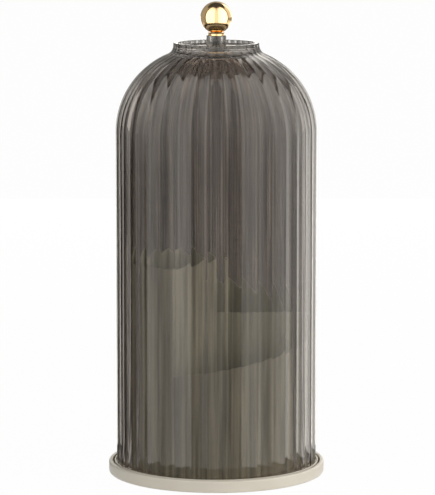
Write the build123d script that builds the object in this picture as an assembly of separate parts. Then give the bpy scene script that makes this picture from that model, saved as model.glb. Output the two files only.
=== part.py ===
from build123d import *
import os
from math import acos, asin, ceil, cos, degrees, pi, radians, sin, sqrt

# Round organizer on a turntable: a divided cup under a fluted bell cover.
# Millimetres, +Z up, origin on the table below the centre, front towards -Y.

# Divided cup, keyed to the turntable and held by the centre screw.
# Its rims are heights above the turntable, and its azimuths count from the front.
cup_radius = 52.3
cup_wall = 1.8
cup_floor = 2.2
divider_thickness = 1.6
divider_azimuths = (-29.0, 91.0, 211.0)
front_rim = (59.6, 77.4)
back_rim = (90.8, 107.8)
tall_rim = 123.6
post_radius = 3.6
post_height = 20.0
key_length = 8.0
key_width = 3.0
key_depth = 1.2
key_clearance = 0.1
key_circle = 30.0

# Fluted cover, its shoulder height above the turntable
cup_clearance = 5.4
cover_wall = 2.5
flute_count = 38
flute_depth = 0.8
shoulder_height = 199.9
shoulder_radius = 50.7
neck_radius = 25.6
neck_fillet = 6.0
neck_height = 1.4
neck_wall = 2.4
top_disc_sunk = 2.5
top_disc_thickness = 2.4

# Knob on the cover
stem_radius = 5.95
stem_height = 6.8
collar_radius = 5.3
collar_height = 1.8
knob_radius = 9.5
knob_sunk = 0.6
knob_thread_depth = 9.0
knob_washer_radius = 6.0
knob_washer_thickness = 0.8

# Turntable plate with a lip around the cover's foot and a spigot in the hub
cover_seat_clearance = 0.4
lip_width = 1.0
lip_height = 1.0
plate_thickness = 1.8
plate_gap = 1.0
spigot_radius = 5.0
spigot_clearance = 0.1
spigot_play = 0.1

# Rollers under the turntable, in a flat carrier that turns on the hub
roller_count = 4
roller_radius = 1.45
roller_length = 6.0
roller_clearance = 0.05
roller_margin = 3.0
carrier_margin = 10.6
carrier_thickness = 1.2
carrier_clearance = 0.1
pocket_clearance = 0.2

# Fixed base: a shallow round dish with a hub in the middle
base_wall = 2.4
base_floor = 1.6
base_top_bevel = 0.7
base_foot_bevel = 0.9
hub_wall = 2.5
hub_web = 1.8
hub_gap = 0.3

# Anti-slip pads under the base
pad_count = 4
pad_radius = 5.5
pad_thickness = 0.8
pad_margin = 4.6

# Screws and washers
pivot_shank = 1.5
pivot_head = 3.3
pivot_head_height = 1.6
pivot_screw_length = 18.0
pivot_washer_radius = 8.0
pivot_washer_thickness = 0.6
pivot_washer_clearance = 2.5
knob_shank = 2.0
knob_head = 3.6
knob_head_height = 2.4
screw_fit = 0.05
through_hole_clearance = 0.2
hole_spare = 1.0
slot_share = 0.2

# Curved outlines are drawn in short chords: the longest turn of one, in degrees.
# Round a flute they are flats, and the smooth inside has a number of flats behind each flute.
shoulder_chord_angle = 14.0
fillet_chord_angle = 35.0
knob_chord_angle = 15.0
knob_side_count = 36
flats_per_flute = 4
inside_flats_per_flute = 2

# Radii that follow from the cup outwards
cup_inner = cup_radius - cup_wall
cover_inner = cup_radius + cup_clearance
cover_radius = cover_inner + cover_wall
seat_outer = cover_radius + cover_seat_clearance
lip_radius = seat_outer + lip_width
dish_radius = lip_radius + plate_gap
base_radius = dish_radius + base_wall
carrier_radius = dish_radius - carrier_margin
roller_circle = carrier_radius - roller_margin - roller_length / 2
pad_circle = base_radius - base_foot_bevel - pad_margin - pad_radius
pivot_hole = pivot_shank + through_hole_clearance
hub_recess_radius = pivot_washer_radius + pivot_washer_clearance
hub_radius = hub_recess_radius + hub_wall
shoulder_centre = cover_radius - shoulder_radius
neck_inner = neck_radius - neck_wall
knob_hole = knob_shank + through_hole_clearance

# Heights that follow from the table upwards
base_bottom = pad_thickness
base_floor_top = base_bottom + base_floor
roller_height = base_floor_top + roller_clearance + roller_radius
plate_bottom = roller_height + roller_radius + roller_clearance
seat_top = plate_bottom + plate_thickness
base_top = seat_top + lip_height
hub_top = plate_bottom - hub_gap
web_bottom = hub_top - hub_web
spigot_bottom = web_bottom - spigot_play
pivot_seat = spigot_bottom - pivot_washer_thickness
cup_floor_top = seat_top + cup_floor
shoulder_level = seat_top + shoulder_height

# The neck's fillet rolls on the shoulder's arc and ends upright at the neck
fillet_radius = neck_radius + neck_fillet
fillet_swing = degrees(acos((fillet_radius - shoulder_centre) / (shoulder_radius + neck_fillet)))
fillet_level = shoulder_level + sqrt(
    (shoulder_radius + neck_fillet) ** 2 - (fillet_radius - shoulder_centre) ** 2)
neck_top = fillet_level + neck_height
top_disc_top = neck_top - top_disc_sunk
top_disc_under = top_disc_top - top_disc_thickness
stem_top = top_disc_top + stem_height
collar_top = stem_top + collar_height
knob_centre = collar_top + knob_radius - knob_sunk
knob_seat = top_disc_under - knob_washer_thickness


def lathe(profile):
    """Turn a closed outline of (radius, height) points about the Z axis."""
    outline = Polyline(*profile, close=True)
    return revolve(Plane.XZ * make_face(outline), Axis.Z)


def rod(radius, bottom, top):
    """Upright cylinder on the axis between two heights."""
    return Pos(0, 0, (bottom + top) / 2) * Cylinder(radius, top - bottom)


def tube(outer, inner, bottom, top):
    """Upright tube between two heights."""
    return lathe([(inner, bottom), (outer, bottom), (outer, top), (inner, top)])


def block(length, width, bottom, top):
    """Upright block centred on the axis."""
    return Pos(0, 0, (bottom + top) / 2) * Box(length, width, top - bottom)


def around(count, start=0.0):
    """Evenly spaced turns about the Z axis."""
    return [Rot(0, 0, start + 360 * i / count) for i in range(count)]


def chords(centre, radius, start, end, longest):
    """Points on an arc of the (radius, height) plane, from start to end in degrees."""
    count = ceil(abs(end - start) / longest)
    angles = [radians(start + (end - start) * i / count) for i in range(count + 1)]
    return [(centre[0] + radius * cos(a), centre[1] + radius * sin(a)) for a in angles]


def ring(radius, height, reaches):
    """Evenly spaced corners of a level ring, each as far out as its share of the radius."""
    angles = [2 * pi * i / len(reaches) for i in range(len(reaches))]
    return [(radius * reach * cos(a), radius * reach * sin(a), height)
            for reach, a in zip(reaches, angles)]


def stacked(outline, reaches):
    """Solid with flat sides between rings, one at each (radius, height) point of an outline."""
    corners = len(reaches)
    rings = [ring(radius, height, reaches) for radius, height in outline]
    sides = [
        dict.fromkeys([low[i - 1], low[i], high[i], high[i - 1]])
        for low, high in zip(rings, rings[1:])
        for i in range(corners)
    ]
    ends = [rings[i] for i in (0, -1) if outline[i][0] > 0]
    return Solid(Shell([Face(Wire.make_polygon(corner_list)) for corner_list in [*sides, *ends]]))


def screw(shank, head, head_height, length, seat):
    """Pan-head screw that points up, its head below the seat height and slotted."""
    body = rod(head, seat - head_height, seat) + rod(shank, seat, seat + length)
    depth = head_height / 2
    return body - block(2 * head, head * slot_share, seat - head_height, seat - depth)


def base_housing():
    bore = spigot_radius + spigot_clearance
    return lathe([
        (bore, web_bottom),
        (hub_recess_radius, web_bottom),
        (hub_recess_radius, base_bottom),
        (base_radius - base_foot_bevel, base_bottom),
        (base_radius, base_bottom + base_foot_bevel),
        (base_radius, base_top - base_top_bevel),
        (base_radius - base_top_bevel, base_top),
        (dish_radius, base_top),
        (dish_radius, base_floor_top),
        (hub_radius, base_floor_top),
        (hub_radius, hub_top),
        (bore, hub_top),
    ])


def foot_pads():
    pad = Pos(pad_circle, 0, 0) * rod(pad_radius, 0, pad_thickness)
    return [turn * pad for turn in around(pad_count, 45)]


def rollers():
    roller = Pos(roller_circle, 0, roller_height) * Rot(0, 90, 0) * Cylinder(roller_radius, roller_length)
    return [turn * roller for turn in around(roller_count)]


def roller_carrier():
    low = roller_height - carrier_thickness / 2
    high = roller_height + carrier_thickness / 2
    part = tube(carrier_radius, hub_radius + carrier_clearance, low, high)
    pocket = block(
        roller_length + 2 * pocket_clearance, 2 * (roller_radius + pocket_clearance), low, high)
    for turn in around(roller_count):
        part -= turn * Pos(roller_circle, 0, 0) * pocket
    return part


def key_blocks(clearance):
    """Two keys between cup and plate, grown by a clearance."""
    key = block(
        key_length + 2 * clearance, key_width + 2 * clearance, seat_top - key_depth - clearance, seat_top)
    return [turn * Pos(key_circle, 0, 0) * key for turn in around(2)]


def turntable_plate():
    part = lathe([
        (pivot_hole, spigot_bottom),
        (spigot_radius, spigot_bottom),
        (spigot_radius, plate_bottom),
        (lip_radius, plate_bottom),
        (lip_radius, base_top),
        (seat_outer, base_top),
        (seat_outer, seat_top),
        (pivot_hole, seat_top),
    ])
    for key in key_blocks(key_clearance):
        part -= key
    return part


def pivot_washer():
    return tube(pivot_washer_radius, pivot_hole, pivot_seat, spigot_bottom)


def pivot_screw():
    return screw(pivot_shank, pivot_head, pivot_head_height, pivot_screw_length, pivot_seat)


def wall_sector(start, end, rim_start, rim_end):
    """Cup wall between two azimuths, under a ramp that climbs from one rim height to the other."""
    span = end - start
    section = make_face(Polyline(
        (cup_inner, 0), (cup_radius, 0), (cup_radius, rim_end), (cup_inner, rim_end), close=True))
    wall = revolve(Plane.XZ * section, Axis.Z, span)
    if rim_end > rim_start:
        climb = rim_end - rim_start
        inner, outer = [
            Helix(climb * 360 / span, climb, radius, center=(0, 0, rim_start)).edge()
            for radius in (cup_inner - cup_wall, cup_radius + cup_wall)
        ]
        ramp = Face.make_surface_from_curves(inner, outer)
        wall -= Solid.extrude(ramp, Vector(0, 0, 2 * climb))
    return Pos(0, 0, seat_top) * Rot(0, 0, start - 90) * wall


def divider(azimuth, rim):
    """Upright blade from the centre to the middle of the cup wall."""
    length = cup_inner + cup_wall / 2
    blade = Pos(length / 2, 0, 0) * block(length, divider_thickness, seat_top, seat_top + rim)
    return Rot(0, 0, azimuth - 90) * blade


def divided_cup():
    left, right, back = divider_azimuths
    part = rod(cup_radius, seat_top, cup_floor_top)
    part += wall_sector(left, right, *front_rim)
    part += wall_sector(right, back, *back_rim)
    part += wall_sector(back, left + 360, tall_rim, tall_rim)
    part += divider(left, tall_rim)
    part += divider(right, back_rim[0])
    part += divider(back, tall_rim)
    part += rod(post_radius, seat_top, cup_floor_top + post_height)
    for key in key_blocks(0):
        part += key
    return part - rod(pivot_shank + screw_fit, seat_top, pivot_seat + pivot_screw_length + hole_spare)


def cover_outline():
    """The cover's ridge line from foot to neck, as (radius, height) points."""
    shoulder = chords(
        (shoulder_centre, shoulder_level), shoulder_radius, 0, fillet_swing, shoulder_chord_angle)
    into_neck = chords(
        (fillet_radius, fillet_level), neck_fillet, 180 + fillet_swing, 180, fillet_chord_angle)
    return [(cover_radius, seat_top), *shoulder, *into_neck[1:], (neck_radius, neck_top)]


def cover_hollow():
    """The smooth space inside the cover."""
    arc_radius = shoulder_radius - cover_wall
    swing = degrees(acos((neck_inner - shoulder_centre) / arc_radius))
    shoulder = chords((shoulder_centre, shoulder_level), arc_radius, 0, swing, shoulder_chord_angle)
    outline = [(cover_inner, seat_top), *shoulder, (neck_inner, top_disc_under)]
    return stacked(outline, [1.0] * flute_count * inside_flats_per_flute)


def dome_cover():
    dip = flute_depth / cover_radius
    shares = [i / flats_per_flute for i in range(flats_per_flute)]
    flute = [1 - dip * 4 * share * (1 - share) for share in shares]
    part = stacked(cover_outline(), flute * flute_count) - cover_hollow()
    part -= rod(neck_inner, top_disc_top, neck_top)
    return part - rod(knob_hole, top_disc_under, top_disc_top)


def knob_stem():
    return tube(stem_radius, knob_hole, top_disc_top, stem_top)


def knob_collar():
    return tube(collar_radius, knob_hole, stem_top, collar_top)


def ball_knob():
    seat_angle = -degrees(asin((knob_radius - knob_sunk) / knob_radius))
    outline = chords((0, knob_centre), knob_radius, seat_angle, 90, knob_chord_angle)
    ball = stacked([*outline[:-1], (0, knob_centre + knob_radius)], [1.0] * knob_side_count)
    return ball - rod(knob_shank + screw_fit, collar_top, collar_top + knob_thread_depth)


def knob_washer():
    return tube(knob_washer_radius, knob_hole, knob_seat, top_disc_under)


def knob_screw():
    length = collar_top + knob_thread_depth - hole_spare - knob_seat
    return screw(knob_shank, knob_head, knob_head_height, length, knob_seat)


pieces = [
    base_housing,
    foot_pads,
    rollers,
    roller_carrier,
    turntable_plate,
    pivot_washer,
    pivot_screw,
    divided_cup,
    dome_cover,
    knob_stem,
    knob_collar,
    ball_knob,
    knob_washer,
    knob_screw,
]

os.makedirs("parts", exist_ok=True)
for piece in pieces:
    made = piece()
    shape = Compound(children=made) if isinstance(made, list) else made
    export_step(shape, f"parts/{piece.__name__}.step")
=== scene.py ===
from math import acos, asin, cos, degrees, pi, radians, sin, sqrt
import bmesh
import bpy
import numpy as np
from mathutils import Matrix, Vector


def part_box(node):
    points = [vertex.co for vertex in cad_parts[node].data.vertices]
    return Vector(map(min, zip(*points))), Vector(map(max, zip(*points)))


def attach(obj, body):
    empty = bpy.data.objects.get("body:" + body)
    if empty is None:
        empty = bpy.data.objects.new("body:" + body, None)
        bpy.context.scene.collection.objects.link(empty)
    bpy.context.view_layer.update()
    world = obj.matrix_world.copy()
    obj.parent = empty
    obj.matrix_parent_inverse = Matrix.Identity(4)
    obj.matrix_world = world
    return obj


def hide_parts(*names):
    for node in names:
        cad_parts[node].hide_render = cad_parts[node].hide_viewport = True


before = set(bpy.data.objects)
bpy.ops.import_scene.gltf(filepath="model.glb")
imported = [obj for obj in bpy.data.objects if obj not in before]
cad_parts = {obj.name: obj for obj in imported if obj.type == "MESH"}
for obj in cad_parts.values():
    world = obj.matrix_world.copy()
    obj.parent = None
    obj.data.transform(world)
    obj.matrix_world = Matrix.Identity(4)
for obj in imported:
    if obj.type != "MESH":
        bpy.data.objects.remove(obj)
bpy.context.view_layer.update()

# The view: an eye about two metres in front and a little above, through a long lens
# that keeps the organizer's sides upright.
camera_distance = 1.9073
camera_height = 0.4139
camera_aside = 0.0007
camera_pitch = 8.25
camera_lens = 233.2


def placed(name, data):
    """New object at the origin that holds a camera, a lamp or a mesh."""
    made = bpy.data.objects.new(name, data)
    bpy.context.scene.collection.objects.link(made)
    return made


camera = placed("camera", bpy.data.cameras.new("camera"))
camera.location = (camera_aside, -camera_distance, camera_height)
camera.rotation_euler = (radians(90 - camera_pitch), 0, 0)
camera.data.lens = camera_lens
bpy.context.scene.camera = camera
bpy.context.scene.view_settings.view_transform = "Standard"

# The studio: a white surround that is dim overhead, a pale floor that keeps a soft shadow, and
# four soft lights. Grey bars on surround and floor show only through the clear pieces, and rings
# of light and dark cards round the object only in reflections and through those pieces.
white = (1, 1, 1, 1)
surround_light = 0.25
overhead_light = 0.06
floor_half = 5.0
floor_grey = (0.9, 0.9, 0.9, 1)
floor_glow = 0.98
backdrop_bars = 22
backdrop_bar_light = 0.15
card_bars = 16
card_bar_light = 0.45
card_white = (1.0, 0.965, 0.90)
card_head_light = 0.08
card_columns = 96
card_head_slope = 4
# Sines of the elevation between which the surround dims
overhead_rise = (0.4, 0.65)
# Heights between which the cards turn into those above the shoulder, and between which they dim
shoulder_rise = (0.185, 0.250)
head_rise = (0.33, 0.58)
# Azimuth on a ring from the front to the right, in degrees, and how bright the cards are there
foot_cards = ((-180, 0.5), (-140, 0.4), (-110, 0.1), (-80, 0.25), (80, 0.3), (110, 0.8), (180, 0.5))
wall_cards = (
    (-180, 2.0), (-110, 2.3), (-105, 0.05), (-69, 0.05), (-65, 0.9), (-54, 2.0), (-15, 2.4), (-11, 1.0),
    (14, 1.0), (20, 2.2), (59, 2.6), (70, 2.8), (110, 3.0), (180, 0.9),
)
rim_cards = ((-180, 3.8), (-162, 3.8), (-154, 0.4), (154, 0.4), (162, 3.8), (180, 3.8))
upper_cards = (
    (-180, 0.4), (-155, 0.3), (-125, 0.4), (-87, 0.4), (-83, 0.03), (-79, 0.03), (-76, 2.4), (-15, 2.4),
    (-11, 1.3), (14, 1.3), (20, 2.4), (54, 2.8), (83, 2.6), (86, 0.04), (90, 0.04), (94, 0.9), (128, 1.1),
    (138, 2.4), (150, 2.4), (158, 0.6), (180, 0.5),
)
side_flag = ((-180, 1.0), (-150, 1.0), (-147, 0.03), (-141, 0.03), (-138, 1.0), (0, 1.0), (180, 1.0))
# Each ring: radius, lowest point, highest point in front and behind, cards that a reflection finds
# below the shoulder and above it, flags seen through glass
card_rings = (
    (0.08, 0.0, 0.010, 0.010, foot_cards, foot_cards, side_flag),
    (0.08, 0.010, 0.65, 0.36, wall_cards, upper_cards, side_flag),
    (0.079, 0.256, 0.256, 0.272, rim_cards, rim_cards, None),
)
lamp_distance = 1.2
lamp_height = 0.4
lamp_size = (0.6, 0.9)
lamp_aim = 0.14
# Azimuth of each lamp from the front to the right, in degrees, and its radiance
lamps = {
    "left_light": (-45, 2.1),
    "front_light": (10, 1.5),
    "right_light": (70, 5.2),
    "back_light": (180, 2.0),
}


def emptied(owner):
    """Node tree of a new material or world, with nothing in it."""
    owner.use_nodes = True
    owner.node_tree.nodes.clear()
    return owner.node_tree


def new_material(name):
    """Material without nodes, and its node tree."""
    material = bpy.data.materials.new(name)
    return material, emptied(material)


def add_node(tree, kind, inputs, **settings):
    """New shader node. Each input is given a value, or the socket that feeds it."""
    made = tree.nodes.new(kind)
    for name, value in settings.items():
        setattr(made, name, value)
    for key, value in inputs.items():
        if isinstance(value, bpy.types.NodeSocket):
            tree.links.new(value, made.inputs[key])
        else:
            made.inputs[key].default_value = value
    return made


def worked_out(tree, operation, *inputs):
    """Result of an operation, such as a product, on values or sockets."""
    return add_node(tree, "ShaderNodeMath", dict(enumerate(inputs)), operation=operation).outputs[0]


def carried(tree, value, start, end):
    """A value carried from the stretch start to the stretch end, and held at its ends."""
    made = add_node(
        tree, "ShaderNodeMapRange",
        {"Value": value, "From Min": start[0], "From Max": start[1], "To Min": end[0], "To Max": end[1]})
    return made.outputs[0]


def blended(tree, amount, first, second):
    """Colour between two colours by an amount. The node takes colours at 6 and 7 and gives one at 2."""
    return add_node(tree, "ShaderNodeMix", {0: amount, 6: first, 7: second}, data_type="RGBA").outputs[2]


def either(tree, amount, first, second):
    """Shader between two shaders by an amount."""
    return add_node(tree, "ShaderNodeMixShader", {0: amount, 1: first.outputs[0], 2: second.outputs[0]})


def surfaced(tree, shader):
    """Ends a material's nodes with its shader."""
    add_node(tree, "ShaderNodeOutputMaterial", {"Surface": shader.outputs[0]})


def rays_of(tree):
    """What kind of ray meets the surface."""
    return add_node(tree, "ShaderNodeLightPath", {}).outputs


def object_place(tree):
    """Place on the piece itself."""
    return add_node(tree, "ShaderNodeTexCoord", {}).outputs["Object"]


def axes_of(tree, place):
    """X, Y and Z of a place or direction."""
    return add_node(tree, "ShaderNodeSeparateXYZ", {0: place}).outputs


def front_azimuth(tree, axes):
    """Azimuth from the front to the right: the angle whose tangent is x / -y."""
    return worked_out(tree, "ARCTAN2", axes["X"], worked_out(tree, "MULTIPLY", axes["Y"], -1.0))


def seen_directly(tree):
    """1 for a ray from the eye, a reflection or a view through glass, and 0 for scattered light."""
    rays = rays_of(tree)
    outer = worked_out(tree, "MAXIMUM", rays["Is Camera Ray"], rays["Is Glossy Ray"])
    return worked_out(tree, "MAXIMUM", outer, rays["Is Transmission Ray"])


def bars(tree, place, count, darkest):
    """Upright bars about the object, soft at their edges: 1 between them and darkest in their middle.

    With a as the azimuth it is 1 - (1 - darkest) * (0.5 - 0.5 cos(count * a)).
    """
    axes = axes_of(tree, place)
    azimuth = worked_out(tree, "ARCTAN2", axes["X"], axes["Y"])
    wave = worked_out(tree, "COSINE", worked_out(tree, "MULTIPLY", azimuth, count))
    return carried(tree, wave, (-1, 1), (darkest, 1))


def barred_white(tree, place):
    """1 for the eye, and the backdrop's bars for a view through glass."""
    barred = bars(tree, place, backdrop_bars, backdrop_bar_light)
    return carried(tree, rays_of(tree)["Is Transmission Ray"], (0, 1), (1, barred))


def white_surround():
    """White to the eye, barred through glass, dim overhead in reflections, and weaker as a light."""
    world = bpy.data.worlds.new("surround")
    tree = emptied(world)
    direction = add_node(tree, "ShaderNodeTexCoord", {}).outputs["Generated"]
    overhead = carried(tree, axes_of(tree, direction)["Z"], overhead_rise, (1, overhead_light))
    lighting, backdrop, mirrored = (
        add_node(tree, "ShaderNodeBackground", {"Color": white, "Strength": strength})
        for strength in (surround_light, barred_white(tree, direction), overhead))
    seen = either(tree, seen_directly(tree), lighting, backdrop)
    chosen = either(tree, rays_of(tree)["Is Glossy Ray"], seen, mirrored)
    add_node(tree, "ShaderNodeOutputWorld", {"Surface": chosen.outputs[0]})
    return world


def pale_floor():
    """Level square: where it is seen it glows white, but for a small share that takes light and shadow."""
    material, tree = new_material("pale_floor")
    lit = add_node(tree, "ShaderNodeBsdfDiffuse", {"Color": floor_grey})
    barred = barred_white(tree, object_place(tree))
    glow = add_node(tree, "ShaderNodeEmission", {"Color": white, "Strength": barred})
    surfaced(tree, either(tree, worked_out(tree, "MULTIPLY", seen_directly(tree), floor_glow), lit, glow))
    mesh = bpy.data.meshes.new("floor")
    corners = [(-floor_half, -floor_half, 0), (floor_half, -floor_half, 0),
               (floor_half, floor_half, 0), (-floor_half, floor_half, 0)]
    mesh.from_pydata(corners, [], [(0, 1, 2, 3)])
    mesh.materials.append(material)
    floor = placed("floor", mesh)


def soft_light(name, azimuth, radiance):
    """Rectangular light at an azimuth, turned to the object, that no mirror or glass shows."""
    lamp = bpy.data.lights.new(name, "AREA")
    lamp.shape = "RECTANGLE"
    lamp.size, lamp.size_y = lamp_size
    lamp.energy = radiance * pi * lamp_size[0] * lamp_size[1]
    holder = placed(name, lamp)
    turn = radians(azimuth)
    holder.location = (lamp_distance * sin(turn), -lamp_distance * cos(turn), lamp_height)
    towards = Vector((0, 0, lamp_aim)) - holder.location
    holder.rotation_euler = towards.to_track_quat("-Z", "Y").to_euler()
    holder.visible_camera = False
    holder.visible_glossy = False
    holder.visible_transmission = False


def card_colour(tree, share, cards, brightest=1.0, tone=(1, 1, 1)):
    """Colour of the cards at each azimuth, given as a share of the way round, against the brightest.

    A new ramp comes with two stops, and each further card adds one.
    """
    ramp = add_node(tree, "ShaderNodeValToRGB", {0: share})
    stops = ramp.color_ramp.elements
    for number, (middle, light) in enumerate(cards):
        position = middle / 360 + 0.5
        stop = stops[number] if number < 2 else stops.new(position)
        stop.position = position
        stop.color = (*(light / brightest * part for part in tone), 1)
    return ramp.outputs[0]


def card_material(name, lower_cards, higher_cards, flags):
    """Cards that glow inwards and are clear from outside. With flags, glass shows the flags alone.

    Lower cards turn into higher ones over the shoulder's rise, where their bars fade out, and
    all dim over the head's rise.
    """
    material, tree = new_material(name)
    place = object_place(tree)
    axes = axes_of(tree, place)
    share = carried(tree, front_azimuth(tree, axes), (-pi, pi), (0, 1))
    inside = add_node(tree, "ShaderNodeNewGeometry", {}).outputs["Backfacing"]
    let_through = worked_out(tree, "SUBTRACT", 1.0, inside)
    flag_grey = white
    if flags:
        flag_grey = card_colour(tree, share, flags)
        let_through = worked_out(tree, "MAXIMUM", rays_of(tree)["Is Transmission Ray"], let_through)
    rise = carried(tree, axes["Z"], shoulder_rise, (0, 1))
    brightest = max(light for _, light in lower_cards + higher_cards)
    lower, higher = (
        card_colour(tree, share, cards, brightest, card_white) for cards in (lower_cards, higher_cards))
    barred = carried(tree, rise, (0, 1), (bars(tree, place, card_bars, card_bar_light), 1))
    dimmed = carried(tree, axes["Z"], head_rise, (brightest, brightest * card_head_light))
    glow = add_node(
        tree, "ShaderNodeEmission",
        {"Color": blended(tree, rise, lower, higher),
         "Strength": worked_out(tree, "MULTIPLY", barred, dimmed)})
    clear = add_node(tree, "ShaderNodeBsdfTransparent", {"Color": flag_grey})
    surfaced(tree, either(tree, let_through, glow, clear))
    return material


def card_ring(name, radius, low, front_high, back_high, *cards):
    """Upright ring of cards around the object, which only reflections and views through glass meet.

    With a as the turn from the right to the back, and share = 1/2 - slope * sin a, held between
    0 behind and 1 in front, its head is at back + (front - back) * share.
    """
    turns = np.linspace(0, 2 * pi, card_columns, endpoint=False)
    circle = np.stack([np.cos(turns), np.sin(turns)], axis=-1) * radius
    in_front = np.clip(0.5 - card_head_slope * np.sin(turns), 0, 1)
    foot = np.column_stack([circle, np.full(card_columns, low)])
    head = np.column_stack([circle, back_high + (front_high - back_high) * in_front])
    index = np.arange(card_columns)
    after = np.roll(index, -1)
    quads = np.stack([index, after, after + card_columns, index + card_columns], axis=-1)
    mesh = bpy.data.meshes.new(name)
    mesh.from_pydata(np.concatenate([foot, head]), [], quads)
    mesh.materials.append(card_material(name, *cards))
    ring = placed(name, mesh)
    ring.visible_camera = False
    ring.visible_diffuse = False
    ring.visible_shadow = False


bpy.context.scene.world = white_surround()
pale_floor()
for ring_number, ring_sizes in enumerate(card_rings):
    card_ring(f"card_ring_{ring_number}", *ring_sizes)
for lamp_name, lamp_values in lamps.items():
    soft_light(lamp_name, *lamp_values)

# Base housing: the fixed cream dish that everything turns on, injection moulded in one piece,
# with a rounded outer ring, a hub in the middle and a recess under the hub for the screw head.
base_low, base_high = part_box("base_housing")
base_radius = base_high.x
base_wall = 0.0024
base_floor = 0.0016
base_top_ease = 0.0014
base_foot_ease = 0.0016
base_inner_ease = 0.0005
hub_radius = 0.013
hub_recess_radius = 0.0105
hub_bore_radius = 0.0051
hub_below_rim = 0.0031
hub_web = 0.0018
hub_ease = 0.0004
hub_recess_ease = 0.0003
hub_bore_ease = 0.0002
ease_points = 6
# Columns in the full turn of a wide piece
smooth_turn = 192
sharp_angle = 40
merge_distance = 1e-7
grain_detail = 2
grain_contrast = (0.3, 0.7)
plastic_ior = 1.49
cream_roughness = 0.42
plastic_cloud_scale = 45
plastic_satin_scale = 700
plastic_satin_spread = 0.05
# A skin is the scale of its relief, its depth in metres and its strength
plastic_skin = (2600, 0.00003, 0.35)


def display(red, green, blue):
    """Linear colour of a display colour written from 0 to 255."""
    value = np.array((red, green, blue)) / 255
    return (*np.where(value < 0.04045, value / 12.92, ((value + 0.055) / 1.055) ** 2.4), 1)


def grain(tree, scale, low=0, high=1):
    """Noise that follows the piece, spread between two values."""
    noise = add_node(
        tree, "ShaderNodeTexNoise", {"Vector": object_place(tree), "Scale": scale, "Detail": grain_detail})
    return carried(tree, noise.outputs[0], grain_contrast, (low, high))


def bumped(tree, scale, depth, strength):
    """Surface normal of a fine relief."""
    return add_node(
        tree, "ShaderNodeBump",
        {"Height": grain(tree, scale), "Distance": depth, "Strength": strength}).outputs[0]


def moulded_plastic(name, colour, shade, roughness):
    """Opaque satin plastic: a faint cloudiness in the colour and the fine spark-eroded skin of a mould."""
    material, tree = new_material(name)
    smoother, rougher = roughness - plastic_satin_spread, roughness + plastic_satin_spread
    surfaced(tree, add_node(
        tree, "ShaderNodeBsdfPrincipled",
        {"Base Color": blended(tree, grain(tree, plastic_cloud_scale), colour, shade),
         "Roughness": grain(tree, plastic_satin_scale, smoother, rougher),
         "IOR": plastic_ior,
         "Normal": bumped(tree, *plastic_skin)}))
    return material


def eased(corners):
    """Closed outline with its corners rounded off.

    Each corner C comes with the distance at which a parabola that replaces it touches its two
    sides, at A and B: P(t) = (1 - t)^2 A + 2 t (1 - t) C + t^2 B, with t from 0 to 1. One more
    point on each side, a fifth further from C, keeps the flat stretch beyond it flat in the light.
    """
    corner, ease = np.split(np.array(corners, float), [2], axis=1)
    back = np.roll(corner, 1, axis=0) - corner
    ahead = np.roll(corner, -1, axis=0) - corner
    start = corner + back / np.linalg.norm(back, axis=1)[:, None] * ease
    end = corner + ahead / np.linalg.norm(ahead, axis=1)[:, None] * ease
    t = np.linspace(0, 1, ease_points)[:, None, None]
    curve = (1 - t) ** 2 * start + 2 * t * (1 - t) * corner + t**2 * end
    before, after = start + (start - corner) / 5, end + (end - corner) / 5
    return np.concatenate([before[None], curve, after[None]]).transpose(1, 0, 2).reshape(-1, 2)


def turned(outline, columns=smooth_turn, centre=(0, 0)):
    """Grid of a turned surface: x = r cos a, y = r sin a, z = h for each outline point (r, h)."""
    angle = np.linspace(0, 2 * pi, columns, endpoint=False)
    radius, height = outline[:, :1], outline[:, 1:]
    return np.stack(
        [centre[0] + radius * np.cos(angle), centre[1] + radius * np.sin(angle),
         np.broadcast_to(height, (len(outline), columns))], axis=-1)


def piece(name, grids, material, sharp=sharp_angle):
    """Smooth mesh from grids of points that close on themselves both ways.

    Points that fall together, as at a pole, are merged, and the faces are turned outwards.
    """
    points, faces, first = [], [], 0
    for grid in grids:
        rows, columns = grid.shape[:2]
        index = first + np.arange(rows * columns).reshape(rows, columns)
        across = np.roll(index, -1, axis=1)
        up, over = np.roll(index, -1, axis=0), np.roll(across, -1, axis=0)
        faces.append(np.stack([index, across, over, up], axis=-1).reshape(-1, 4))
        points.append(grid.reshape(-1, 3))
        first += rows * columns
    mesh = bpy.data.meshes.new(name)
    mesh.from_pydata(np.concatenate(points), [], np.concatenate(faces))
    clean = bmesh.new()
    clean.from_mesh(mesh)
    bmesh.ops.remove_doubles(clean, verts=clean.verts, dist=merge_distance)
    bmesh.ops.delete(clean, geom=[e for e in clean.edges if not e.link_faces], context="EDGES")
    bmesh.ops.recalc_face_normals(clean, faces=clean.faces)
    clean.to_mesh(mesh)
    clean.free()
    mesh.shade_smooth()
    mesh.set_sharp_from_angle(angle=radians(sharp))
    mesh.materials.append(material)
    return placed(name, mesh)


cream = moulded_plastic("cream_plastic", display(226, 219, 204), display(220, 212, 196), cream_roughness)
hub_top = base_high.z - hub_below_rim
web_bottom = hub_top - hub_web
dish_radius = base_radius - base_wall
dish_floor = base_low.z + base_floor
base_outline = eased([
    (hub_bore_radius, web_bottom, hub_bore_ease),
    (hub_recess_radius, web_bottom, hub_recess_ease),
    (hub_recess_radius, base_low.z, hub_ease),
    (base_radius, base_low.z, base_foot_ease),
    (base_radius, base_high.z, base_top_ease),
    (dish_radius, base_high.z, base_inner_ease),
    (dish_radius, dish_floor, hub_ease),
    (hub_radius, dish_floor, hub_ease),
    (hub_radius, hub_top, hub_ease),
    (hub_bore_radius, hub_top, hub_bore_ease),
])
base = piece("base_moulding", [turned(base_outline)], cream)
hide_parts("base_housing")
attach(base, "base")

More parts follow.
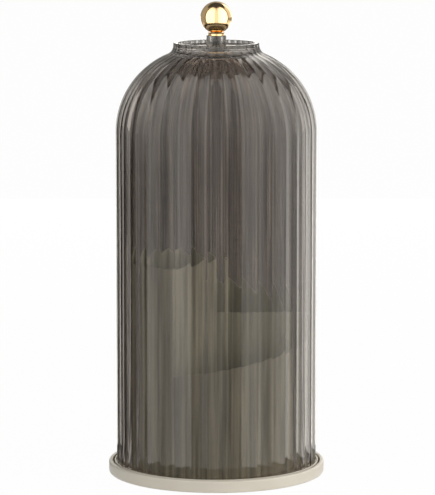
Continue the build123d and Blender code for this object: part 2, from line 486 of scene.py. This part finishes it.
# Foot pads: four soft rubber discs, punched from sheet and glued under the base, that keep it
# from sliding on a smooth table.
pad_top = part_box("foot_pads")[1]
pad_radius = 0.0055
pad_ease = 0.0002
pad_count = 4
small_turn = 48
rubber_speckle_scale = 1500
rubber_roughness = 0.85
rubber_skin = (1800, 0.00006, 0.6)


def pad_rubber():
    """Dull rubber with a fine speckle and a rough, slightly uneven skin."""
    material, tree = new_material("pad_rubber")
    speckle = grain(tree, rubber_speckle_scale)
    surfaced(tree, add_node(
        tree, "ShaderNodeBsdfPrincipled",
        {"Base Color": blended(tree, speckle, display(44, 44, 44), display(60, 59, 58)),
         "Roughness": rubber_roughness,
         "Normal": bumped(tree, *rubber_skin)}))
    return material


# Radius of the circle through the pads' middles, which lie on the diagonals
pad_circle = (pad_top.x - pad_radius) * sqrt(2)
pad_outline = eased([
    (0, 0, 0),
    (pad_radius, 0, pad_ease),
    (pad_radius, pad_top.z, pad_ease),
    (0, pad_top.z, 0),
])
pads = piece(
    "rubber_pads",
    [turned(pad_outline, small_turn, (pad_circle * cos(a), pad_circle * sin(a)))
     for a in (np.arange(pad_count) + 0.5) * 2 * pi / pad_count],
    pad_rubber())
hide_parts("foot_pads")
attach(pads, "base")

# Rollers and their carrier: acetal rollers that the turntable runs on, kept apart by a flat
# ring of the same plastic that turns on the hub at half the turntable's speed.
acetal_roughness = 0.3


def finish_node(node, material):
    """Gives a piece of the frame its material."""
    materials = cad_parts[node].data.materials
    materials.clear()
    materials.append(material)


acetal = moulded_plastic("roller_plastic", display(236, 236, 230), display(228, 228, 221), acetal_roughness)
for acetal_node in ("rollers", "roller_carrier"):
    finish_node(acetal_node, acetal)

# Turntable plate: a cream disc with a low lip around the cover's foot and a spigot that turns
# in the base's hub. It is moulded, and a narrow groove parts it from the base's ring.
plate_low, plate_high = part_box("turntable_plate")
cover_low, cover_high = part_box("dome_cover")
plate_radius = plate_high.x
seat_top = cover_low.z
lip_width = 0.001
lip_ease = 0.0004
lip_foot_ease = 0.0001
plate_thickness = 0.0018
plate_foot_ease = 0.0004
spigot_radius = 0.005
spigot_ease = 0.0003
spigot_bore_radius = 0.0017
spigot_bore_ease = 0.0001
plate_bottom = seat_top - plate_thickness
seat_radius = plate_radius - lip_width
plate_outline = eased([
    (spigot_bore_radius, plate_low.z, spigot_bore_ease),
    (spigot_radius, plate_low.z, spigot_ease),
    (spigot_radius, plate_bottom, spigot_ease),
    (plate_radius, plate_bottom, plate_foot_ease),
    (plate_radius, plate_high.z, lip_ease),
    (seat_radius, plate_high.z, lip_ease),
    (seat_radius, seat_top, lip_foot_ease),
    (spigot_bore_radius, seat_top, spigot_bore_ease),
])
plate = piece("turntable_moulding", [turned(plate_outline)], cream)
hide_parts("turntable_plate")
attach(plate, "turntable")

# Screws and washers: zinc-plated steel. The centre screw is driven up through its washer and
# the spigot into the cup's post and holds cup and plate down in the hub. The knob screw ties
# ball, collar and stem to the cover from inside.
steel_haze_scale = 900
steel_skin = (3500, 0.00001, 0.3)
# A gloss is the scale of its unevenness, and its smoothest and roughest value
steel_gloss = (2500, 0.24, 0.4)


def plated_steel():
    """Zinc plating: a cool grey metal with a fine uneven skin and a slight haze."""
    material, tree = new_material("screw_steel")
    haze = grain(tree, steel_haze_scale)
    surfaced(tree, add_node(
        tree, "ShaderNodeBsdfPrincipled",
        {"Base Color": blended(tree, haze, display(205, 206, 208), display(188, 188, 188)),
         "Metallic": 1.0,
         "Roughness": grain(tree, *steel_gloss),
         "Normal": bumped(tree, *steel_skin)}))
    return material


steel = plated_steel()
for steel_node in ("pivot_washer", "pivot_screw", "knob_washer", "knob_screw"):
    finish_node(steel_node, steel)

# Divided cup: one cream moulding of a round wall, a floor, three upright dividers and a centre
# post. Its rim climbs in a ramp round two of the three compartments and is level and high
# round the third.
cup_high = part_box("divided_cup")[1]
cup_radius = cup_high.x
cup_wall = 0.0018
cup_floor = 0.0022
cup_foot_ease = 0.0003
cup_rim_ease = 0.0005
divider_half = 0.0008
# Left, right and back divider, counted from the front to the right, in degrees
divider_azimuths = (-29.0, 91.0, 211.0)
front_rim = (0.0596, 0.0774)
back_rim = (0.0908, 0.1078)
tall_rim = cup_high.z - seat_top
# Azimuth between two columns of the wall, and half of it at a jump of the rim, in degrees
wall_step = 1.5
rim_jump = 0.02
post_radius = 0.0036
post_height = 0.02
post_ease = 0.0006
cup_sharp_angle = 35
cup_roughness = 0.38


def rim_height():
    """Azimuths in degrees and the rim's height at each.

    Between two dividers the height is low + (high - low) * share of the way round. At a
    divider two azimuths close together, flush with its low side, carry the two heights.
    """
    left, right, back = divider_azimuths
    flush = degrees(divider_half / cup_radius)
    stretches = [
        (left + flush, right - flush, *front_rim),
        (right - flush, back - flush, *back_rim),
        (back - flush, left + 360 + flush, tall_rim, tall_rim),
    ]
    azimuths, heights = [], []
    for start, end, low, high in stretches:
        share = np.linspace(0, 1, int((end - start) / wall_step))
        azimuths.append(start + rim_jump + (end - start - 2 * rim_jump) * share)
        heights.append(low + (high - low) * share)
    return np.concatenate(azimuths), np.concatenate(heights)


def ring_wall():
    """Grid of the round wall: x = r cos a, y = r sin a for each point of its section.

    The section is one unit high, and its upper points are lifted to the rim's height at a.
    """
    section = eased([
        (cup_radius - cup_wall, 0, 0),
        (cup_radius, 0, cup_foot_ease),
        (cup_radius, 1, cup_rim_ease),
        (cup_radius - cup_wall, 1, cup_rim_ease),
    ])
    azimuth, height = rim_height()
    angle = np.radians(azimuth - 90)
    radius, level = section[:, :1], section[:, 1:]
    z = np.where(level > 0.5, level - 1 + height, level)
    return np.stack([radius * np.cos(angle), radius * np.sin(angle), seat_top + z], axis=-1)


def divider_blade(azimuth, rim):
    """Grid of an upright blade: its section is carried from the axis out into the wall.

    The first and last rows shrink to the section's middle and close the ends.
    """
    section = eased([
        (-divider_half, 0, 0),
        (divider_half, 0, 0),
        (divider_half, rim, cup_rim_ease),
        (-divider_half, rim, cup_rim_ease),
    ])
    middle = np.broadcast_to(section.mean(axis=0), section.shape)
    reach = cup_radius - cup_wall / 2
    rows = [(0, middle), (0, section), (reach, section), (reach, middle)]
    along = np.array([np.full(len(section), out) for out, _ in rows])
    aside = np.array([shape[:, 0] for _, shape in rows])
    z = np.array([shape[:, 1] for _, shape in rows])
    turn = radians(azimuth - 90)
    return np.stack(
        [along * cos(turn) - aside * sin(turn), along * sin(turn) + aside * cos(turn), seat_top + z],
        axis=-1)


def upright_disc(radius, bottom, top, top_ease=0, columns=smooth_turn):
    """Grid of a disc or post about the axis."""
    outline = eased([(0, bottom, 0), (radius, bottom, 0), (radius, top, top_ease), (0, top, 0)])
    return turned(outline, columns)


def united(first, *others):
    """The first piece with the others united into its mesh, which are then gone."""
    for other in others:
        join = first.modifiers.new(other.name, "BOOLEAN")
        join.operation = "UNION"
        join.solver = "MANIFOLD"
        join.object = other
    depsgraph = bpy.context.evaluated_depsgraph_get()
    mesh = bpy.data.meshes.new_from_object(first.evaluated_get(depsgraph))
    first.modifiers.clear()
    first.data = mesh
    mesh.shade_smooth()
    mesh.set_sharp_from_angle(angle=radians(cup_sharp_angle))
    for other in others:
        bpy.data.objects.remove(other)
    return first


cup_plastic = moulded_plastic("cup_plastic", display(222, 225, 207), display(215, 217, 198), cup_roughness)
floor_top = seat_top + cup_floor
floor_disc = upright_disc(cup_radius - cup_wall / 2, seat_top, floor_top)
post = upright_disc(post_radius, seat_top + cup_floor / 2, floor_top + post_height, post_ease, small_turn)
cup = united(
    piece("cup_moulding", [ring_wall()], cup_plastic),
    piece("cup_floor", [floor_disc], cup_plastic),
    *[piece(f"blade_{number}", [divider_blade(*blade)], cup_plastic)
      for number, blade in enumerate(zip(divider_azimuths, (tall_rim, back_rim[0], tall_rim)))],
    piece("post", [post], cup_plastic))
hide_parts("divided_cup")
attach(cup, "turntable")

# Cover: one clear smoky moulding, a bell with shallow hollow flutes outside and a smooth
# inside. It stands loose on the turntable, and is lifted off by the knob in its recessed top.
cover_radius = cover_high.x
cover_wall = 0.0025
cover_edge_ease = 0.0006
cover_sharp_angle = 60
flute_count = 38
flute_depth = 0.0008
flute_columns = 20
ridge_round = 0.03
shoulder_radius = 0.0507
shoulder_points = 40
shoulder_inner_points = 28
neck_radius = 0.0256
neck_fillet = 0.006
neck_fillet_points = 12
neck_height = 0.0014
neck_wall = 0.0024
neck_edge_turn = 60
neck_edge_points = 4
neck_inner_edge_points = 5
top_disc_sunk = 0.0025
top_disc_thickness = 0.0024
disc_top = cover_high.z - top_disc_sunk
knob_hole_radius = 0.0022
# Smoke tints, between which run painted streaks that stand in for lines of light refracted by the flutes
smoke_light = (0.44, 0.39, 0.35, 1)
smoke_dark = (0.21, 0.188, 0.172, 1)
# Painted highlight: the neck's rim takes a paler tint so that it looks lit
rim_highlight_tint = (0.60, 0.58, 0.55, 1)
rim_highlight_blend = 0.0005
cover_film = (0.87, 0.855, 0.83, 1)
cover_skin = (45, 0.0001, 0.12)
cover_gloss = (60, 0.01, 0.03)
# Noise of the streaks: painted refracted light in the tint, and a faint relief of flow lines in the bump
streak_scale = 400
streak_detail = 3
streak_stretch = 40
streak_contrast = (0.35, 0.65)
flow_depth = 0.00002
flow_strength = 0.5


def arc(centre, radius, start, end, count):
    """Points (r, h) of an arc: the centre plus the radius times cosine and sine of the angle."""
    angle = np.radians(np.linspace(start, end, count))
    return np.stack([centre[0] + radius * np.cos(angle), centre[1] + radius * np.sin(angle)], axis=-1)


def cover_profile():
    """Closed outline of the wall, and how much of the flutes each of its points shows.

    Outside it runs up the wall, round the shoulder's arc, through the neck's fillet, which
    touches that arc, and up the neck; inside it comes back over the top disc, down the neck
    and round an arc with the same centre as the shoulder's. The foot is eased outside by three
    points of a parabola, and inside by a slant half as wide. Points close to the ends of the
    straight stretches keep the light flat on them.
    """
    axis_gap = cover_radius - shoulder_radius
    fillet_out = neck_radius + neck_fillet
    reach = shoulder_radius + neck_fillet
    swing = degrees(acos((fillet_out - axis_gap) / reach))
    fillet_level = cover_high.z - neck_height
    level = fillet_level - sqrt(reach**2 - (fillet_out - axis_gap) ** 2)
    inner_arc = shoulder_radius - cover_wall
    cover_inner = cover_radius - cover_wall
    neck_inner = neck_radius - neck_wall
    inner_swing = degrees(acos((neck_inner - axis_gap) / inner_arc))
    disc_under = disc_top - top_disc_thickness
    ease = cover_edge_ease
    edge_level = cover_high.z - ease
    outside = np.concatenate([
        [(cover_radius - ease, seat_top),
         (cover_radius - ease / 4, seat_top + ease / 4),
         (cover_radius, seat_top + ease),
         (cover_radius, seat_top + 2 * ease),
         (cover_radius, level - ease)],
        arc((axis_gap, level), shoulder_radius, 0, swing, shoulder_points),
        arc((fillet_out, fillet_level), neck_fillet, 180 + swing, 180, neck_fillet_points)[1:],
        arc((neck_radius - ease, edge_level), ease, 0, neck_edge_turn, neck_edge_points),
    ])
    inside = np.concatenate([
        arc((neck_inner + ease, edge_level), ease, 90, 180, neck_inner_edge_points),
        [(neck_inner, disc_top + ease),
         (neck_inner - ease, disc_top),
         (knob_hole_radius, disc_top),
         (knob_hole_radius, disc_under),
         (neck_inner - ease, disc_under),
         (neck_inner, disc_under - ease)],
        arc((axis_gap, level), inner_arc, inner_swing, 0, shoulder_inner_points),
        [(cover_inner, level - ease),
         (cover_inner, seat_top + 2 * ease),
         (cover_inner, seat_top + ease / 2),
         (cover_inner + ease / 2, seat_top)],
    ])
    shown = np.concatenate([np.ones(len(outside)), np.zeros(len(inside))])
    return np.concatenate([outside, inside]), shown


def fluted_grid():
    """Grid of the fluted wall: r = R(s) (1 - depth share * shown(s) * hollow(a)).

    With t as the distance from the nearest ridge in flute widths, softened near the ridge to
    sqrt(t^2 + e^2) - e, hollow is the parabola 4 t (1 - t). Columns crowd towards the ridges,
    at (1 - cos) / 2 of even steps.
    """
    profile, shown = cover_profile()
    step = (1 - np.cos(np.linspace(0, pi, flute_columns, endpoint=False))) / 2
    near = np.minimum(step, 1 - step)
    soft = np.sqrt(near**2 + ridge_round**2) - ridge_round
    hollow = np.tile(4 * soft * (1 - soft), flute_count)
    angle = ((np.arange(flute_count)[:, None] + step) * 2 * pi / flute_count).ravel()
    depth_share = flute_depth / cover_radius
    radius = profile[:, :1] * (1 - depth_share * shown[:, None] * hollow)
    height = np.broadcast_to(profile[:, 1:], radius.shape)
    return np.stack([radius * np.cos(angle), radius * np.sin(angle), height], axis=-1)


def flow_relief_and_light_streaks(tree):
    """Fine upright lines: noise over (arc length, height / stretch), so that each runs up the wall."""
    axes = axes_of(tree, object_place(tree))
    along = worked_out(tree, "MULTIPLY", front_azimuth(tree, axes), cover_radius)
    rise = worked_out(tree, "MULTIPLY", axes["Z"], 1 / streak_stretch)
    unrolled = add_node(tree, "ShaderNodeCombineXYZ", {0: along, 2: rise}).outputs[0]
    noise = add_node(
        tree, "ShaderNodeTexNoise", {"Vector": unrolled, "Scale": streak_scale, "Detail": streak_detail})
    return carried(tree, noise.outputs[0], streak_contrast, (0, 1))


def rim_highlight_share(tree):
    """0 below the top disc and 1 at the rim, whose paler tint is a painted highlight."""
    height = axes_of(tree, object_place(tree))["Z"]
    return carried(tree, height, (disc_top - rim_highlight_blend, disc_top + rim_highlight_blend), (0, 1))


def lamp_lit(tree, glass, film_tint):
    """Glass that lamps shine through: a shadow ray meets plain tinted film in its place."""
    film = add_node(tree, "ShaderNodeBsdfTransparent", {"Color": film_tint})
    return either(tree, rays_of(tree)["Is Shadow Ray"], glass, film)


def smoky_plastic():
    """Smoky clear plastic: painted streaks of refracted light in its tint, flow lines in its polished skin.
    """
    material, tree = new_material("smoky_cover")
    lines = flow_relief_and_light_streaks(tree)
    # Painted light: the streaks in the tint stand in for lines of light that the flutes refract
    smoke = blended(tree, lines, smoke_light, smoke_dark)
    drawn = add_node(
        tree, "ShaderNodeBump",
        {"Height": lines, "Distance": flow_depth, "Strength": flow_strength,
         "Normal": bumped(tree, *cover_skin)})
    # Painted highlight: above the top disc the tint turns paler
    glass = add_node(
        tree, "ShaderNodeBsdfPrincipled",
        {"Base Color": blended(tree, rim_highlight_share(tree), smoke, rim_highlight_tint),
         "Roughness": grain(tree, *cover_gloss),
         "IOR": plastic_ior,
         "Transmission Weight": 1.0,
         "Normal": drawn.outputs[0]})
    surfaced(tree, lamp_lit(tree, glass, cover_film))
    return material


cover = piece("fluted_cover", [fluted_grid()], smoky_plastic(), cover_sharp_angle)
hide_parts("dome_cover")
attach(cover, "cover")

# Knob stem: a short clear stub that stands on the cover's recessed top and lifts the ball
# clear of the rim for the fingers.
stem_low, stem_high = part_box("knob_stem")
stem_ease = 0.0004
knob_turn = 96
stem_light = (0.47, 0.46, 0.44, 1)
stem_dark = (0.41, 0.40, 0.38, 1)
stem_film = (0.85, 0.85, 0.84, 1)
stem_tint_scale = 150
stem_gloss = (300, 0.22, 0.30)


def clear_plastic():
    """Clear plastic with a trace of grey and a softly polished skin."""
    material, tree = new_material("clear_stem")
    glass = add_node(
        tree, "ShaderNodeBsdfPrincipled",
        {"Base Color": blended(tree, grain(tree, stem_tint_scale), stem_light, stem_dark),
         "Roughness": grain(tree, *stem_gloss),
         "IOR": plastic_ior,
         "Transmission Weight": 1.0})
    surfaced(tree, lamp_lit(tree, glass, stem_film))
    return material


stem_outline = eased([
    (knob_hole_radius, stem_low.z, 0),
    (stem_high.x, stem_low.z, stem_ease),
    (stem_high.x, stem_high.z, stem_ease),
    (knob_hole_radius, stem_high.z, 0),
])
stem = piece("clear_stub", [turned(stem_outline, knob_turn)], clear_plastic())
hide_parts("knob_stem")
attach(stem, "cover")

# Collar and ball: brass, turned, polished and gold plated. The knob screw pulls the ball down
# on the collar and the collar on the stem.
collar_low, collar_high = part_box("knob_collar")
ball_low, ball_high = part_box("ball_knob")
collar_waist = 0.0006
collar_waist_ease = 0.0005
collar_edge_ease = 0.0003
ball_radius = 0.0095
ball_points = 60
ball_turn = 128
gold_light = (0.93, 0.69, 0.38, 1)
gold_deep = (0.88, 0.63, 0.33, 1)
gold_depth_scale = 120
gold_skin = (900, 0.000004, 0.2)
gold_gloss = (400, 0.07, 0.13)


def gold_plating():
    """Polished gold plate: a warm metal, mirror-like with a breath of uneven polish."""
    material, tree = new_material("gold_metal")
    surfaced(tree, add_node(
        tree, "ShaderNodeBsdfPrincipled",
        {"Base Color": blended(tree, grain(tree, gold_depth_scale), gold_light, gold_deep),
         "Metallic": 1.0,
         "Roughness": grain(tree, *gold_gloss),
         "Normal": bumped(tree, *gold_skin)}))
    return material


gold = gold_plating()
collar_outline = eased([
    (knob_hole_radius, collar_low.z, 0),
    (collar_high.x, collar_low.z, collar_edge_ease),
    (collar_high.x - collar_waist, (collar_low.z + collar_high.z) / 2, collar_waist_ease),
    (collar_high.x, collar_high.z, collar_edge_ease),
    (knob_hole_radius, collar_high.z, 0),
])
collar = piece("gold_collar", [turned(collar_outline, knob_turn)], gold)
ball_centre = ball_high.z - ball_radius
ball_seat_angle = -degrees(asin((ball_centre - ball_low.z) / ball_radius))
ball_arc = arc((0, ball_centre), ball_radius, ball_seat_angle, 90, ball_points)
ball = piece("gold_ball", [turned(np.concatenate([[(0, ball_low.z)], ball_arc]), ball_turn)], gold)
for gold_piece, gold_node in ((collar, "knob_collar"), (ball, "ball_knob")):
    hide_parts(gold_node)
    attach(gold_piece, "cover")
